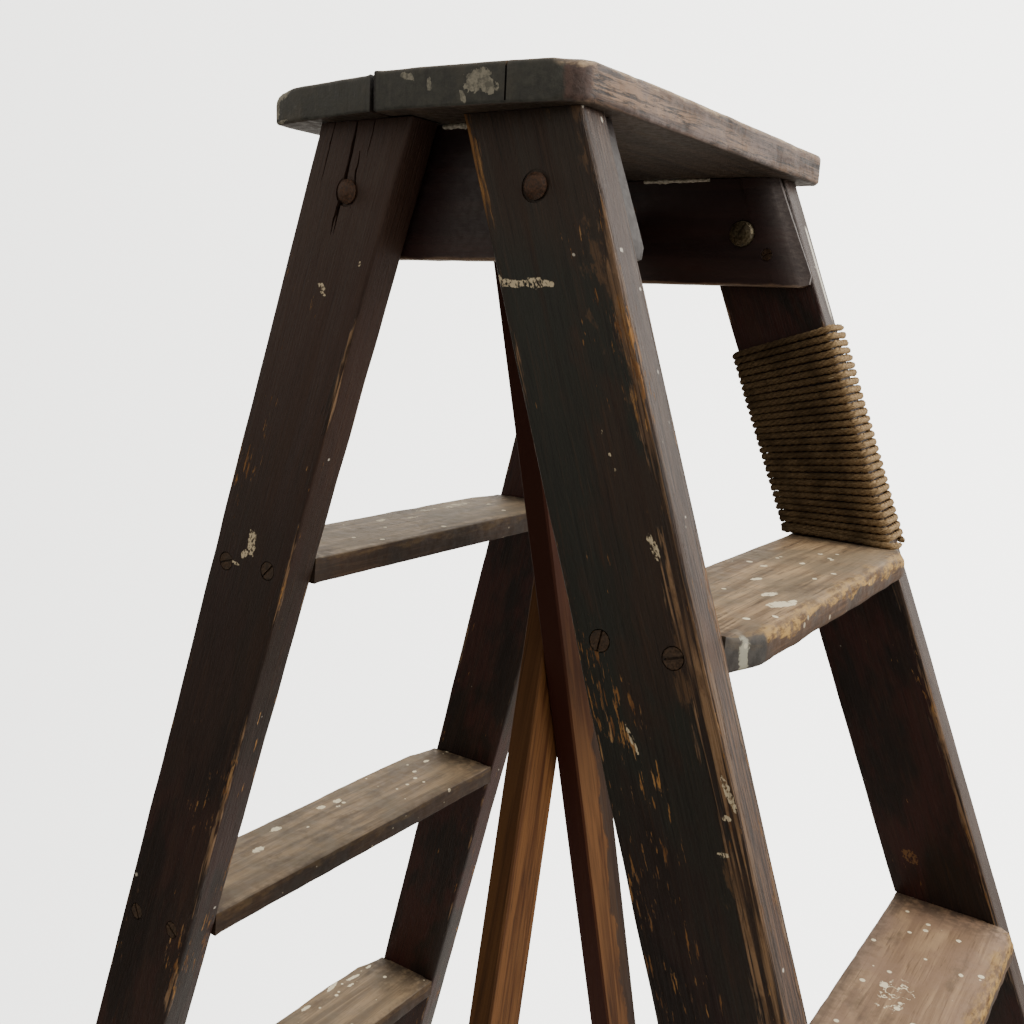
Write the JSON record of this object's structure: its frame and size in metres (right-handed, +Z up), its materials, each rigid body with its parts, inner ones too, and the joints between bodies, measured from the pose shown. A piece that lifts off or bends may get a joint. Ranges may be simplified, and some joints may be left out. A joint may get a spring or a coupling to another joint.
{
  "type": "step ladder",
  "caption": "Double-sided folding wooden step ladder: two tapering tread ladders under a small platform, pivot bolts, crossed centre brace and a cord-bound stile.",
  "frame": {"origin": "middle of the footprint, on the floor", "axes": "+Z up; +X from the rear ladder towards the front ladder; Y along the treads, the near side at -Y"},
  "size_m": [1.1397, 0.5128, 1.51],
  "materials": {
    "stained_wood": "near-black brown stain and old varnish, worn to bare wood on the edges",
    "worn_tread": "grey-brown worn softwood with paint specks",
    "top_wood": "weathered dark stain, tan worn arris",
    "bare_wood": "unpainted red-brown softwood, smooth",
    "rusty_iron": "brown rust",
    "old_brass": "dull tarnished",
    "jute": "twisted hairy cord"
  },
  "bodies": {
    "front_frame": {"brace_pivot_far": "rusty_iron", "brace_pivot_near": "rusty_iron", "cheek_far": "stained_wood", "cheek_near": "stained_wood", "cheek_screw_far": "rusty_iron", "cheek_screw_near": "rusty_iron", "front_screw_far_1": "rusty_iron", "front_screw_far_2": "rusty_iron", "front_screw_far_3": "rusty_iron", "front_screw_far_4": "rusty_iron", "front_screw_far_5": "rusty_iron", "front_screw_near_1": "rusty_iron", "front_screw_near_2": "rusty_iron", "front_screw_near_3": "rusty_iron", "front_screw_near_4": "rusty_iron", "front_screw_near_5": "rusty_iron", "front_stile_far": "stained_wood", "front_stile_near": "stained_wood", "front_tread_1": "worn_tread", "front_tread_2": "worn_tread", "front_tread_3": "worn_tread", "front_tread_4": "worn_tread", "front_tread_5": "worn_tread", "pivot_bolt_front_far": "rusty_iron", "pivot_bolt_front_near": "rusty_iron", "pivot_bolt_rear_far": "rusty_iron", "pivot_bolt_rear_near": "rusty_iron", "pivot_nut_front_far": "old_brass", "pivot_nut_front_near": "old_brass", "pivot_nut_rear_far": "old_brass", "pivot_nut_rear_near": "old_brass", "pivot_washer_far": "rusty_iron", "pivot_washer_near": "rusty_iron", "rope_binding": "jute", "top_board_main": "top_wood"},
    "rear_ladder": {"rear_screw_far_1": "rusty_iron", "rear_screw_far_2": "rusty_iron", "rear_screw_far_3": "rusty_iron", "rear_screw_far_4": "rusty_iron", "rear_screw_far_5": "rusty_iron", "rear_screw_near_1": "rusty_iron", "rear_screw_near_2": "rusty_iron", "rear_screw_near_3": "rusty_iron", "rear_screw_near_4": "rusty_iron", "rear_screw_near_5": "rusty_iron", "rear_stile_far": "stained_wood", "rear_stile_near": "stained_wood", "rear_tread_1": "worn_tread", "rear_tread_2": "worn_tread", "rear_tread_3": "worn_tread", "rear_tread_4": "worn_tread", "rear_tread_5": "worn_tread", "top_board_back": "top_wood"},
    "brace": {"brace_rail": "bare_wood", "brace_block": "bare_wood", "brace_screw": "rusty_iron", "brace_bar_near": "bare_wood", "brace_bar_far": "bare_wood"}
  },
  "joints": [
    {"name": "rear_fold", "type": "hinge", "parent": "front_frame", "child": "rear_ladder", "pos_m": [-0.134, 0, 1.453], "axis": [0, -1, 0], "range_deg": [0, 34]},
    {"name": "brace_swing", "type": "hinge", "parent": "front_frame", "child": "brace", "pos_m": [-0.112, 0, 1.45], "axis": [0, -1, 0], "range_deg": [0, 17]}
  ],
  "couplings": [
    {"joint": "brace_swing", "follows": "rear_fold", "ratio": 0.5}
  ]
}
